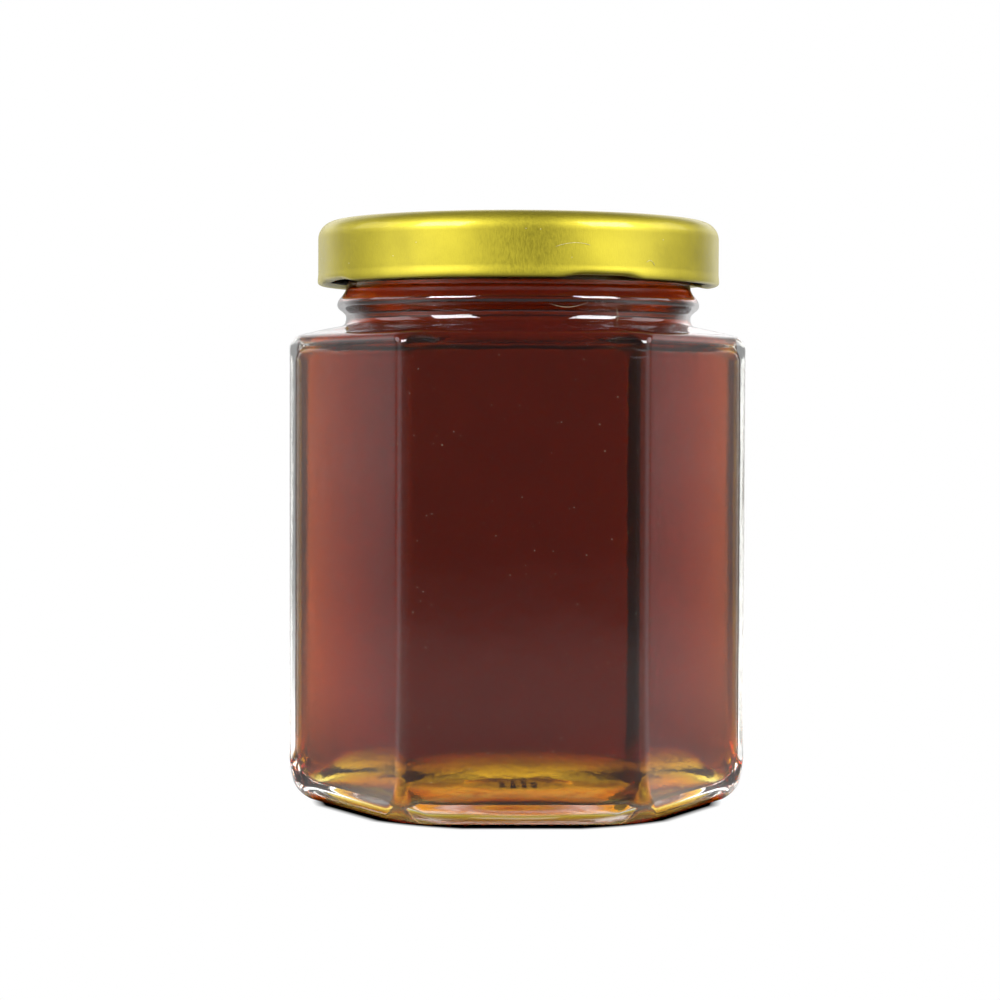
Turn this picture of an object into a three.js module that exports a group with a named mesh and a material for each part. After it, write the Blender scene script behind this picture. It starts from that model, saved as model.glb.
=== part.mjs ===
// A six-sided glass honey jar, filled to the neck and shut by a twist-off lid.
// Millimetres, +Z up. The origin is under the middle of the base and the front face looks along -Y.
import * as THREE from 'three';

// Body of the jar
const ACROSS_FLATS = 66.3;
const WALL = 2.12;
const WALL_CORNER = 2.4;
const INNER_CORNER = 4.5;

// Base, with a ring to stand on, a push-up inside it and a domed floor
const HEEL_RADIUS = 3.6;
const BASE_CORNER = 10.5;
const BASE_CORNER_HEIGHT = 6.5;
const RING_WIDTH = 2.4;
const PUSH_UP = 3.5;
const PUSH_UP_POWER = 3;
const MARK_RADIUS = 8.85;
const MARK_DEPTH = 0.4;
const FLOOR_EDGE = 3.4;
const FLOOR_CENTRE = 9.5;
const FLOOR_POWER = 3.2;
const FLOOR_ROUND = 4;
const FLOOR_CORNER = 7;
const INNER_HEEL = 5;

// Shoulder
const SHOULDER_HEIGHT = 77.5;
const SHOULDER_FILLET = 2.2;
const SHOULDER_CORNER = 5;
const INNER_SHOULDER = 75.3;
const INNER_FILLET = 2.6;

// Neck and mouth, round, with the bead under the lid
const NECK_RADIUS = 28.5;
const NECK_FOOT = 78.8;
const BEAD_HEIGHT = 82.3;
const BEAD_RADIUS = 30;
const BORE_RADIUS = 26;
const RIM_HEIGHT = 94.6;
const RIM_ROUND = 0.4;

// Honey, which stands up into the neck
const HONEY_TOP = 92;
const HONEY_GAP = 0.3;

// Lid
const LID_RADIUS = 33.15;
const LID_TOP = 95.88;
const LID_ROUND = 2.88;
const SHEET = 0.5;
const LINER = 0.43;
const PANEL_DROP = 0.7;
const PANEL_RADIUS = 27.3;
const CURL_BOTTOM = 85.44;
const CURL_HEIGHT = 1.75;
const CURL_DEPTH = 1.65;
const LUG_AZIMUTH = 22.5;
const LUG_HALF_WIDTH = 13.5;
const LUG_PULL = 1.35;
const LUG_LIFT = 0.45;
const LUGS = 4;

// Fineness of the faces
const SIDES = 6;
const FLAT_STEPS = 2;
const CORNER_STEPS = 3;
const LID_SEGMENTS = 80;

const HALF_SIDE = Math.PI / SIDES;
const STEPS_TO_CORNER = FLAT_STEPS + CORNER_STEPS;
const APOTHEM = ACROSS_FLATS / 2;
const INNER_APOTHEM = APOTHEM - WALL;

const { clamp, lerp, degToRad, smoothstep } = THREE.MathUtils;

// A ring is one level of a jar surface: a hexagon with rounded corners, up to a full circle.
const ring = (apothem, z, corner = apothem) => ({ apothem, z, corner: Math.min(corner, apothem) });

// Quarter turns and parts of them, in the plane of the profile
function arc(centre, radius, from, to, steps, cornerAt) {
  return Array.from({ length: steps + 1 }, (_, i) => {
    const angle = degToRad(lerp(from, to, i / steps));
    const apothem = centre[0] + radius * Math.cos(angle);
    const z = centre[1] + radius * Math.sin(angle);
    return ring(apothem, z, cornerAt(z));
  });
}

// Distance from the axis to a rounded hexagon, at an angle counted from the middle of a side
function sectionRadius({ apothem, corner }, angle) {
  const flatEnd = flatEndAngle(apothem, corner);
  if (Math.abs(angle) <= flatEnd) return apothem / Math.cos(angle);
  const centre = (apothem - corner) / Math.cos(HALF_SIDE);
  const turn = HALF_SIDE - Math.abs(angle);
  return centre * Math.cos(turn) + Math.sqrt(corner ** 2 - (centre * Math.sin(turn)) ** 2);
}

function flatEndAngle(apothem, corner) {
  return apothem > 0 ? Math.atan(((apothem - corner) * Math.tan(HALF_SIDE)) / apothem) : 0;
}

// The steps gather at tight corners and spread evenly where the ring is nearly round
function stepAngle({ apothem, corner }, step) {
  const flatEnd = flatEndAngle(apothem, corner);
  const past = Math.max(step - FLAT_STEPS, 0) / CORNER_STEPS;
  const gathered = lerp((flatEnd * Math.min(step, FLAT_STEPS)) / FLAT_STEPS, HALF_SIDE, past);
  const even = (HALF_SIDE * step) / STEPS_TO_CORNER;
  const roundness = apothem > 0 ? corner / apothem : 1;
  return lerp(gathered, even, smoothstep(roundness, 0.25, 1));
}

// A closed body lofted through the rings, from the axis round to the axis again
function loft(rings) {
  const profile = rings.map(({ apothem, z }) => new THREE.Vector2(apothem, z));
  const segments = 2 * SIDES * STEPS_TO_CORNER;
  const geometry = new THREE.LatheGeometry(profile, segments);
  const position = geometry.attributes.position;
  for (let i = 0; i < position.count; i += 1) {
    const level = rings[i % rings.length];
    const step = Math.floor(i / rings.length) % segments;
    const side = Math.round(step / (2 * STEPS_TO_CORNER));
    const offset = step - side * 2 * STEPS_TO_CORNER;
    const angle = Math.sign(offset) * stepAngle(level, Math.abs(offset));
    const azimuth = side * 2 * HALF_SIDE + angle;
    const radius = sectionRadius(level, angle);
    position.setXYZ(i, radius * Math.sin(azimuth), -radius * Math.cos(azimuth), level.z);
  }
  geometry.computeVertexNormals();
  return geometry;
}

// Outside of the jar

function underside() {
  const ringOuter = APOTHEM - HEEL_RADIUS;
  const ringInner = ringOuter - RING_WIDTH;
  const markFloor = PUSH_UP - MARK_DEPTH;
  const heightAt = (apothem) => PUSH_UP * (1 - (apothem / ringInner) ** PUSH_UP_POWER);
  const cornerAt = (apothem) => lerp(apothem, BASE_CORNER, smoothstep(apothem, MARK_RADIUS, ringInner));
  const slope = [0.35, 0.65, 0.92].map((part) => {
    const apothem = lerp(MARK_RADIUS, ringInner, part);
    return ring(apothem, heightAt(apothem), cornerAt(apothem));
  });
  return [
    ring(0, markFloor),
    ring(MARK_RADIUS - MARK_DEPTH, markFloor),
    ring(MARK_RADIUS, heightAt(MARK_RADIUS)),
    ...slope,
    ring(ringInner, 0, BASE_CORNER),
  ];
}

// The corners are rounder low down, at the heel, than in the wall
function wallCornerAt(z) {
  return lerp(BASE_CORNER, WALL_CORNER, clamp(z / BASE_CORNER_HEIGHT, 0, 1));
}

function outerWall() {
  const heel = arc([APOTHEM - HEEL_RADIUS, HEEL_RADIUS], HEEL_RADIUS, -90, 0, 5, wallCornerAt);
  const filletFoot = SHOULDER_HEIGHT - SHOULDER_FILLET;
  const cornerAt = (z) => lerp(WALL_CORNER, SHOULDER_CORNER, (z - filletFoot) / SHOULDER_FILLET);
  const fillet = arc([APOTHEM - SHOULDER_FILLET, filletFoot], SHOULDER_FILLET, 0, 80, 4, cornerAt);
  return [...heel, ring(APOTHEM, BASE_CORNER_HEIGHT, WALL_CORNER), ...fillet];
}

function shoulderAndNeck() {
  const foot = NECK_RADIUS + 0.6;
  const shoulderEdge = APOTHEM - SHOULDER_FILLET;
  const halfway = lerp(shoulderEdge, foot, 0.5);
  return [
    ring(halfway, lerp(SHOULDER_HEIGHT, NECK_FOOT, 0.5), lerp(SHOULDER_CORNER, foot, 0.45)),
    ring(foot, NECK_FOOT - 0.05),
    ring(NECK_RADIUS + 0.25, NECK_FOOT + 0.3),
    ring(NECK_RADIUS + 0.05, NECK_FOOT + 1.1),
    ring(NECK_RADIUS + 0.1, NECK_FOOT + 1.7),
    ring(NECK_RADIUS + 0.6, NECK_FOOT + 2.25),
    ring(BEAD_RADIUS - 0.2, BEAD_HEIGHT - 0.65),
    ring(BEAD_RADIUS, BEAD_HEIGHT),
    ring(BEAD_RADIUS - 0.25, BEAD_HEIGHT + 0.7),
    ring(NECK_RADIUS + 0.65, BEAD_HEIGHT + 1.5),
    ring(NECK_RADIUS + 0.15, BEAD_HEIGHT + 2.3),
    ring(NECK_RADIUS, BEAD_HEIGHT + 3.2),
    ring(NECK_RADIUS, RIM_HEIGHT - RIM_ROUND),
    ring(NECK_RADIUS - RIM_ROUND, RIM_HEIGHT),
    ring(BORE_RADIUS + RIM_ROUND, RIM_HEIGHT),
    ring(BORE_RADIUS, RIM_HEIGHT - RIM_ROUND),
  ];
}

// Inside of the jar, from the middle of the floor up to the bore.
// With an inset it gives the honey, which stays clear of the glass all round.
function inside(inset) {
  const heelStart = INNER_APOTHEM - INNER_HEEL;
  const floor = [0, 0.35, 0.6, 0.8, 0.92].map((part) => {
    const apothem = heelStart * part;
    const squareness = smoothstep(apothem, FLOOR_ROUND, heelStart);
    const z = lerp(FLOOR_CENTRE, FLOOR_EDGE, part ** FLOOR_POWER) + inset;
    return ring(apothem, z, lerp(apothem, FLOOR_CORNER, squareness));
  });
  const heelCentre = [heelStart, FLOOR_EDGE + INNER_HEEL];
  const heelCorner = (z) => lerp(FLOOR_CORNER, INNER_CORNER, clamp((z - FLOOR_EDGE) / INNER_HEEL, 0, 1));
  const heel = arc(heelCentre, INNER_HEEL - inset, -90, 0, 4, heelCorner);
  const filletCentre = [INNER_APOTHEM - INNER_FILLET, INNER_SHOULDER - INNER_FILLET];
  const fillet = arc(filletCentre, INNER_FILLET - inset, 0, 90, 3, () => INNER_CORNER);
  const throat = [
    ring(BORE_RADIUS + 1.2 - inset, INNER_SHOULDER + 0.45 - inset, lerp(INNER_CORNER, BORE_RADIUS, 0.55)),
    ring(BORE_RADIUS + 0.4 - inset, INNER_SHOULDER + 1.2),
    ring(BORE_RADIUS - inset, INNER_SHOULDER + 2.5),
  ];
  return [...floor, ...heel, ...fillet, ...throat];
}

function jarGeometry() {
  return loft([...underside(), ...outerWall(), ...shoulderAndNeck(), ...inside(0).reverse()]);
}

function honeyGeometry() {
  const radius = BORE_RADIUS - HONEY_GAP;
  return loft([...inside(HONEY_GAP), ring(radius, HONEY_TOP), ring(0, HONEY_TOP)]);
}

// Lid: a shallow pressed cap, its lower edge rolled in and pressed further in at the lugs

// A lid point moves in by pull and up by lift where a lug is
const point = (radius, z, pull = 0, lift = 0) => ({ radius, z, pull, lift });

function lidCorner(centre, radius, from, to, steps) {
  return Array.from({ length: steps + 1 }, (_, i) => {
    const angle = degToRad(lerp(from, to, i / steps));
    return point(centre[0] + radius * Math.cos(angle), centre[1] + radius * Math.sin(angle));
  });
}

function lidInside() {
  const skirt = LID_RADIUS - SHEET;
  const cornerRadius = LID_ROUND - SHEET;
  const ceiling = LID_TOP - SHEET - LINER;
  return [
    point(0, ceiling - 0.5),
    point(BORE_RADIUS - 0.9, ceiling - 0.5),
    point(BORE_RADIUS - 0.4, ceiling),
    point(skirt - cornerRadius - 0.6, ceiling),
    ...lidCorner([skirt - cornerRadius, LID_TOP - LID_ROUND], cornerRadius, 48, 0, 2),
  ];
}

// The rolled edge, from the inside of the skirt round to the outside
function lidCurl() {
  const inner = LID_RADIUS - CURL_DEPTH;
  const top = CURL_BOTTOM + CURL_HEIGHT;
  const middle = CURL_BOTTOM + CURL_HEIGHT * 0.45;
  const flare = 0.06;
  return [
    point(LID_RADIUS - SHEET, top + 0.35, 0.1, 0.2),
    point(inner + 0.45, top, LUG_PULL, LUG_LIFT),
    point(inner, middle + 0.35, LUG_PULL, LUG_LIFT),
    point(inner, middle - 0.35, LUG_PULL, LUG_LIFT),
    point(inner + 0.45, CURL_BOTTOM + 0.06, LUG_PULL * 0.8, LUG_LIFT),
    point(LID_RADIUS - 0.5, CURL_BOTTOM + 0.04, 0.3, LUG_LIFT),
    point(LID_RADIUS - 0.1, CURL_BOTTOM + 0.35, 0.15, LUG_LIFT),
    point(LID_RADIUS + flare, middle, 0.05, LUG_LIFT * 0.6),
    point(LID_RADIUS, top),
  ];
}

function lidOutside() {
  return [
    ...lidCorner([LID_RADIUS - LID_ROUND, LID_TOP - LID_ROUND], LID_ROUND, 0, 90, 5),
    point(PANEL_RADIUS + 0.8, LID_TOP),
    point(PANEL_RADIUS, LID_TOP - PANEL_DROP),
    point(0, LID_TOP - PANEL_DROP),
  ];
}

// One at the middle of each lug, falling to nothing at its ends
function lugShare(azimuth) {
  const spacing = (2 * Math.PI) / LUGS;
  const fromLug = azimuth - degToRad(LUG_AZIMUTH);
  const away = Math.abs(fromLug - spacing * Math.round(fromLug / spacing));
  const halfWidth = degToRad(LUG_HALF_WIDTH);
  return 1 - smoothstep(away, halfWidth * 0.45, halfWidth);
}

function lidGeometry() {
  const points = [...lidInside(), ...lidCurl(), ...lidOutside()];
  const profile = points.map(({ radius, z }) => new THREE.Vector2(radius, z));
  const geometry = new THREE.LatheGeometry(profile, LID_SEGMENTS);
  const position = geometry.attributes.position;
  for (let i = 0; i < position.count; i += 1) {
    const { radius, z, pull, lift } = points[i % points.length];
    const step = Math.floor(i / points.length) % LID_SEGMENTS;
    const azimuth = (step / LID_SEGMENTS) * 2 * Math.PI;
    const share = lugShare(azimuth);
    const reach = radius - pull * share;
    position.setXYZ(i, reach * Math.sin(azimuth), -reach * Math.cos(azimuth), z + lift * share);
  }
  geometry.computeVertexNormals();
  return geometry;
}

const glass = new THREE.MeshStandardMaterial({
  color: 0xe9efe9,
  roughness: 0.05,
  metalness: 0,
  transparent: true,
  opacity: 0.35,
});
const honey = new THREE.MeshStandardMaterial({ color: 0x4a1a10, roughness: 0.1, metalness: 0 });
const gold = new THREE.MeshStandardMaterial({ color: 0xcdb545, roughness: 0.4, metalness: 1 });

const pieces = [
  ['jar', jarGeometry(), glass],
  ['honey', honeyGeometry(), honey],
  ['lid', lidGeometry(), gold],
];

const honeyJar = new THREE.Group();
for (const [name, geometry, material] of pieces) {
  const mesh = new THREE.Mesh(geometry, material);
  mesh.name = name;
  honeyJar.add(mesh);
}

export default honeyJar;
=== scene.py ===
"""Hexagonal honey jar with a gold twist-off lid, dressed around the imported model."""

import math

import bpy
import numpy as np
from bpy.props import FloatProperty, FloatVectorProperty, IntProperty, PointerProperty
from mathutils import Matrix, Vector, noise


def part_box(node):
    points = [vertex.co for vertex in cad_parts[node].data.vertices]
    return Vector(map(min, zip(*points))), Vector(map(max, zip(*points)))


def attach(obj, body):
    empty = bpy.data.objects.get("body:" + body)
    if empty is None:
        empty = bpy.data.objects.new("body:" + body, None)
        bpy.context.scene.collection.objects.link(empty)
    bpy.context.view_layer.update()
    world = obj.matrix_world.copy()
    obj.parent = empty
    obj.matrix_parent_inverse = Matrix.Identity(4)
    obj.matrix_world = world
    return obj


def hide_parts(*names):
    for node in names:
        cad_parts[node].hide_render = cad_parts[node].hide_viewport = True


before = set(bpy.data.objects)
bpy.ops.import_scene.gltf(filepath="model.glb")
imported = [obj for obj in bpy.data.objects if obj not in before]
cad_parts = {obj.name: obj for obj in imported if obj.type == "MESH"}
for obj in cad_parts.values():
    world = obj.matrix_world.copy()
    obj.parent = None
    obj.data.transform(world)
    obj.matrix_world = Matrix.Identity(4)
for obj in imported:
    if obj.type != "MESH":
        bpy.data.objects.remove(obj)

bl_info = {
    "name": "Honey Jar",
    "version": (1, 0, 0),
    "blender": (4, 5, 0),
    "location": "View3D > Sidebar > Honey Jar",
    "description": "Builds a hexagonal glass honey jar, its honey and its gold lid",
    "category": "Add Mesh",
}

MM = 0.001
BODY = "root"
SIDES = 6
HALF_SIDE = math.pi / SIDES

# Sizes that the frame gives
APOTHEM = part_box("jar")[1].y
RIM_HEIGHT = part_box("jar")[1].z
HONEY_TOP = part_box("honey")[1].z
LID_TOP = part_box("lid")[1].z
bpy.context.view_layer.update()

# Jar shape, the same named sizes as the solids have
WALL_CORNER = 2.4 * MM
HEEL_RADIUS = 3.6 * MM
BASE_CORNER = 10.5 * MM
BASE_CORNER_HEIGHT = 6.5 * MM
RING_WIDTH = 2.4 * MM
PUSH_UP = 3.5 * MM
PUSH_UP_POWER = 3
MARK_RADIUS = 8.85 * MM
MARK_DEPTH = 0.35 * MM
NUB_DEPTH = 0.6 * MM
NUB_APOTHEM = 29.7 * MM
FLOOR_EDGE = 3.4 * MM
FLOOR_CENTRE = 9.5 * MM
FLOOR_POWER = 3.2
FLOOR_ROUND = 4 * MM
FLOOR_CORNER = 7 * MM
INNER_HEEL = 5 * MM
SHOULDER_HEIGHT = 77.5 * MM
SHOULDER_FILLET = 2.2 * MM
SHOULDER_CORNER = 5 * MM
INNER_SHOULDER = 75.3 * MM
INNER_FILLET = 2.6 * MM
NECK_RADIUS = 28.5 * MM
NECK_FOOT = 78.8 * MM
BEAD_HEIGHT = 82.3 * MM
BEAD_RADIUS = 30 * MM
BORE_RADIUS = 26 * MM
RIM_ROUND = 0.4 * MM

# Lid shape
LID_RADIUS = 33.15 * MM
LID_ROUND = 2.88 * MM
SHEET = 0.5 * MM
LINER = 0.43 * MM
CEILING = LID_TOP - SHEET - LINER
CEILING_STEP = 0.5 * MM
PANEL_DROP = 0.7 * MM
PANEL_RADIUS = 27.3 * MM
CURL_BOTTOM = 85.44 * MM
CURL_HEIGHT = 1.75 * MM
CURL_DEPTH = 1.65 * MM
LUG_AZIMUTH = math.radians(22.5)
LUG_HALF_WIDTH = math.radians(13.5)
LUGS = 4

# Fineness of the meshes
FLAT_STEPS = 20
CORNER_STEPS = 16
LEVEL_STEPS = 3
LID_COLUMNS = 480
LID_STEPS = 3

# Fineness of the grain on each material, in grains for each metre
GLASS_GRAIN = (3200, 3200, 2600)
HONEY_GRAIN = (2400, 2400, 2400)
GOLD_GRAIN = (5000, 5000, 1400)
LACQUER_GRAIN = (2600, 2600, 2600)
BUBBLE_GRAIN = (5000, 5000, 5000)
DUST_GRAIN = (6000, 6000, 6000)

# Square centimetres in a square metre, because scattering counts by the square metre
PER_SQUARE_CM = 10000


# Settings that a user would change


def length(name, description, millimetres):
    """A setting for a length, its default given in millimetres."""
    return FloatProperty(name=name, description=description, default=millimetres * MM, unit="LENGTH")


def number(name, description, default, **options):
    return FloatProperty(name=name, description=description, default=default, **options)


def paint(name, description, default):
    """A setting for a colour."""
    return FloatVectorProperty(name=name, description=description, subtype="COLOR", size=3, default=default)


class HoneyJarGlass(bpy.types.PropertyGroup):
    wall: length("Wall", "Thickness of the glass in the flat sides", 2.12)
    inner_corner: length("Inner corner", "Radius of the upright corners inside the jar", 4.5)
    wave: length("Waviness", "How far the inner surface of the glass wanders in and out", 0.08)
    pitting: length("Pitting", "Depth of the fine unevenness of the glass", 0.0015)
    film: number("Film", "Share of the light that the film of dust on the glass scatters", 0.0032)
    ior: number("Refraction", "Index of refraction of the glass", 1.52)


class HoneyJarHoney(bpy.types.PropertyGroup):
    colour: paint("Colour", "Colour that the honey takes on in a thin layer", (0.908, 0.77, 0.0))
    density: number("Density", "How quickly the honey darkens with depth", 380.0)
    haze: number("Haze", "How much light the fine crystals in the honey scatter", 4.0)
    reach: length("Reach", "How far the honey reaches into the wall", 0.06)
    ior: number("Refraction", "Index of refraction of the honey", 1.495)


class HoneyJarLid(bpy.types.PropertyGroup):
    colour: paint("Colour", "Colour of the gold lacquer", (0.4, 0.342, 0.031))
    roughness: number("Roughness", "Roughness of the satin metal under the lacquer", 0.54, subtype="FACTOR")
    coat: number("Lacquer", "How much the clear lacquer over the metal shines", 0.3, subtype="FACTOR")
    lug_pull: length("Lug pull", "How far the rolled edge is pressed in at each lug", 1.35)
    lug_lift: length("Lug lift", "How far the lower edge rises at each lug", 0.45)


class HoneyJarMarks(bpy.types.PropertyGroup):
    nub_spacing: length("Nub spacing", "Distance between the nubs that the jar stands on", 2.67)
    nub_width: length("Nub width", "Width of each nub", 1.1)
    bar_height: length("Bar height", "How far the bars and pips of the base mark stand out", 0.8)


class HoneyJarTraces(bpy.types.PropertyGroup):
    bubbles: number("Bubbles", "Air bubbles under the shoulder for each square centimetre", 14.0)
    bubble_size: length("Bubble size", "Width of the largest bubbles", 0.36)
    dust: number("Dust", "Specks of dust on the lid for each square centimetre", 2.2)
    speck_size: length("Speck size", "Width of the largest specks of dust", 0.2)
    glass_dust: number("Dust on the glass", "Specks on the sides of the jar for each square centimetre", 5.0)
    seed: IntProperty(name="Seed", description="Picks another arrangement of bubbles and specks", default=11)


class HoneyJarStudio(bpy.types.PropertyGroup):
    backdrop: number("Backdrop", "Brightness of the studio behind the jar", 1.0)
    softbox: number("Softboxes", "Brightness of the two softboxes in front of the jar", 22.0)


SETTINGS = {
    "honey_jar_glass": HoneyJarGlass,
    "honey_jar_honey": HoneyJarHoney,
    "honey_jar_lid": HoneyJarLid,
    "honey_jar_marks": HoneyJarMarks,
    "honey_jar_traces": HoneyJarTraces,
    "honey_jar_studio": HoneyJarStudio,
}


# Helpers for shapes


def lerp(a, b, part):
    return a + (b - a) * part


def smoothstep(value, low, high):
    part = min(max((value - low) / (high - low), 0.0), 1.0)
    return part * part * (3 - 2 * part)


def level(apothem, z, corner=None):
    """One level of a jar surface: a hexagon with rounded corners, up to a full circle."""
    return np.array([apothem, z, apothem if corner is None else min(corner, apothem)])


def arc(centre, radius, start, end, steps, corner_at):
    """Levels along part of a circle in the plane of the profile. Angles are in degrees."""
    levels = []
    for i in range(steps + 1):
        angle = math.radians(lerp(start, end, i / steps))
        z = centre[1] + radius * math.sin(angle)
        levels.append(level(centre[0] + radius * math.cos(angle), z, corner_at(z)))
    return levels


def between(t, low, point_at_low, high, point_at_high):
    return lerp(point_at_low, point_at_high, (t - low) / (high - low))


def curve_through(levels, per_span):
    """Fills in smoothly between levels with a centripetal Catmull-Rom curve."""
    points = [2 * levels[0] - levels[1], *levels, 2 * levels[-1] - levels[-2]]
    least_step = 1e-9
    filled = []
    for i in range(len(levels) - 1):
        p0, p1, p2, p3 = points[i:i + 4]
        knots = [0.0]
        for before, after in ((p0, p1), (p1, p2), (p2, p3)):
            knots.append(knots[-1] + np.linalg.norm((after - before)[:2]) ** 0.5 + least_step)
        t0, t1, t2, t3 = knots
        for k in range(per_span):
            t = lerp(t1, t2, k / per_span)
            a1 = between(t, t0, p0, t1, p1)
            a2 = between(t, t1, p1, t2, p2)
            a3 = between(t, t2, p2, t3, p3)
            b1 = between(t, t0, a1, t2, a2)
            b2 = between(t, t1, a2, t3, a3)
            filled.append(between(t, t1, b1, t2, b2))
    filled.append(levels[-1])
    return filled


def flat_end_angle(apothem, corner):
    return math.atan((apothem - corner) * math.tan(HALF_SIDE) / apothem) if apothem > 0 else 0.0


def section_radius(apothem, corner, angle):
    """Distance from the axis to a rounded hexagon, at an angle from the middle of a side."""
    if abs(angle) <= flat_end_angle(apothem, corner):
        return apothem / math.cos(angle)
    centre = (apothem - corner) / math.cos(HALF_SIDE)
    turn = HALF_SIDE - abs(angle)
    return centre * math.cos(turn) + math.sqrt(corner**2 - (centre * math.sin(turn)) ** 2)


def step_angle(apothem, corner, step):
    """The steps gather at tight corners and spread evenly where the level is nearly round."""
    flat_end = flat_end_angle(apothem, corner)
    past = max(step - FLAT_STEPS, 0) / CORNER_STEPS
    gathered = lerp(flat_end * min(step, FLAT_STEPS) / FLAT_STEPS, HALF_SIDE, past)
    even = HALF_SIDE * step / (FLAT_STEPS + CORNER_STEPS)
    roundness = corner / apothem if apothem > 0 else 1.0
    return lerp(gathered, even, smoothstep(roundness, 0.25, 1.0))


def hexagon_ring(one_level):
    """The points of one level, all the way round, starting in the middle of the front."""
    apothem, z, corner = one_level
    half = FLAT_STEPS + CORNER_STEPS
    angles = [step_angle(apothem, corner, k) for k in range(half + 1)]
    radii = [section_radius(apothem, corner, a) for a in angles]
    ring = []
    for side in range(SIDES):
        for offset in range(-half, half):
            turn = math.copysign(angles[abs(offset)], offset) + side * 2 * HALF_SIDE
            radius = radii[abs(offset)]
            ring.append((radius * math.sin(turn), -radius * math.cos(turn), z))
    return ring


def add_to_scene(name, data):
    thing = bpy.data.objects.new(name, data)
    bpy.context.scene.collection.objects.link(thing)
    return thing


def new_piece(name, points, faces, edges=()):
    """A smooth mesh object in the scene."""
    mesh = bpy.data.meshes.new(name)
    mesh.from_pydata(points, edges, faces)
    mesh.shade_smooth()
    mesh.update()
    return add_to_scene(name, mesh)


def band_faces(rings, first=0):
    """The faces between rings of points that follow each other, pointing out when the rings rise."""
    columns = len(rings[0])
    faces = []
    for k in range(len(rings) - 1):
        a = first + k * columns
        b = a + columns
        for i in range(columns):
            j = (i + 1) % columns
            faces.append((a + i, a + j, b + j, b + i))
    return faces


def body_from_rings(name, rings, low_pole, high_pole):
    """A closed mesh from one pole through the rings to the other pole, its faces pointing out."""
    columns = len(rings[0])
    points = [low_pole, *(point for ring in rings for point in ring), high_pole]
    last = len(points) - 1
    top = last - columns
    faces = band_faces(rings, 1)
    for i in range(columns):
        j = (i + 1) % columns
        faces += [(1 + j, 1 + i, 0), (top + i, top + j, last)]
    return new_piece(name, points, faces)


def strip_of(name, levels):
    """An open band of surface through these levels, its faces pointing out, to scatter things on."""
    rings = [hexagon_ring(one) for one in levels]
    return new_piece(name, [point for ring in rings for point in ring], band_faces(rings))


def tube(points, radius, sides=6):
    """Points and faces of a thin tube along a line, closed at both ends."""
    line = [Vector(point) for point in points]
    rings = []
    for i, here in enumerate(line):
        along = (line[min(i + 1, len(line) - 1)] - line[max(i - 1, 0)]).normalized()
        side = along.orthogonal().normalized()
        across = along.cross(side)
        taper = 0.5 if i in (0, len(line) - 1) else 1.0
        angles = [2 * math.pi * k / sides for k in range(sides)]
        rings.append([here + taper * radius * (math.cos(a) * side + math.sin(a) * across) for a in angles])
    count = len(rings) * sides
    ends = [tuple(range(sides))[::-1], tuple(range(count - sides, count))]
    return [tuple(point) for ring in rings for point in ring], ends + band_faces(rings)


def joined(name, parts):
    """One piece from several lists of points and faces."""
    points, faces = [], []
    for some_points, some_faces in parts:
        faces += [tuple(i + len(points) for i in face) for face in some_faces]
        points += some_points
    return new_piece(name, points, faces)


# Helpers for node trees


def new_geometry_tree(name, inputs):
    """A tree with a geometry input, these other inputs and a geometry output."""
    tree = bpy.data.node_groups.new(name, "GeometryNodeTree")
    tree.interface.new_socket("Geometry", in_out="INPUT", socket_type="NodeSocketGeometry")
    for label, kind in inputs.items():
        tree.interface.new_socket(label, in_out="INPUT", socket_type=kind)
    tree.interface.new_socket("Geometry", in_out="OUTPUT", socket_type="NodeSocketGeometry")
    return tree, tree.nodes.new("NodeGroupInput").outputs


def fill_inputs(tree, node, inputs):
    """Links sockets to a node's inputs, and sets other values there."""
    for name, value in inputs.items():
        if isinstance(value, bpy.types.NodeSocket):
            tree.links.new(value, node.inputs[name])
        else:
            node.inputs[name].default_value = value


def add_node(tree, kind, inputs, **options):
    """Adds a node: its options are set, and then its inputs."""
    node = tree.nodes.new(kind)
    for option, value in options.items():
        setattr(node, option, value)
    fill_inputs(tree, node, inputs)
    return node


def add_math(tree, operation, *values, kind="ShaderNodeMath"):
    """The result of a Math node with these inputs."""
    result = "Value" if operation in ("DOT_PRODUCT", "LENGTH") else 0
    return add_node(tree, kind, dict(enumerate(values)), operation=operation).outputs[result]


def add_vector_math(tree, operation, *values):
    return add_math(tree, operation, *values, kind="ShaderNodeVectorMath")


def add_product(tree, first, *others):
    for other in others:
        first = add_math(tree, "MULTIPLY", first, other)
    return first


def add_range(tree, value, low, high, to_low=0.0, to_high=1.0):
    """The value carried from one range over to another, and kept inside it."""
    inputs = {"Value": value, "From Min": low, "From Max": high, "To Min": to_low, "To Max": to_high}
    return add_node(tree, "ShaderNodeMapRange", inputs).outputs["Result"]


def finish_geometry_tree(tree, instances):
    real = add_node(tree, "GeometryNodeRealizeInstances", {"Geometry": instances})
    material = tree.nodes["Group Input"].outputs["Material"]
    dressed = add_node(tree, "GeometryNodeSetMaterial", {"Geometry": real.outputs[0], "Material": material})
    add_node(tree, "NodeGroupOutput", {"Geometry": dressed.outputs[0]})


def grow(piece, tree, values):
    """Runs a Geometry Nodes tree on a piece once and keeps what it makes as a plain mesh."""
    modifier = piece.modifiers.new(tree.name, "NODES")
    modifier.node_group = tree
    for item in tree.interface.items_tree:
        if item.in_out == "INPUT" and item.name in values:
            modifier[item.identifier] = values[item.name]
    graph = bpy.context.evaluated_depsgraph_get()
    mesh = bpy.data.meshes.new_from_object(piece.evaluated_get(graph))
    mesh.shade_smooth()
    piece.modifiers.remove(modifier)
    piece.data = mesh


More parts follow.
